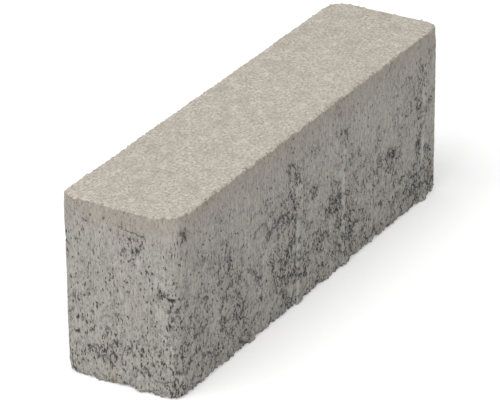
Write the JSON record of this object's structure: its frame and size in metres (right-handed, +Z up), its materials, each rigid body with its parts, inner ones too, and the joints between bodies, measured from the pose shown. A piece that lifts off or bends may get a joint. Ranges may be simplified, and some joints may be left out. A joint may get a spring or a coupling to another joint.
{
  "type": "concrete paver",
  "caption": "Narrow solid concrete paving block with rounded upright corners, square top arris and low vertical spacer ribs on its sides.",
  "frame": {"origin": "middle of the bed face, under the middle of the block", "axes": "+Z up from the bed to the worn face, +X along the block's length, +Y across its width"},
  "size_m": [0.2, 0.05, 0.071],
  "materials": {
    "concrete": "matte"
  },
  "bodies": {
    "root": {"paver_block": "concrete"}
  },
  "joints": []
}
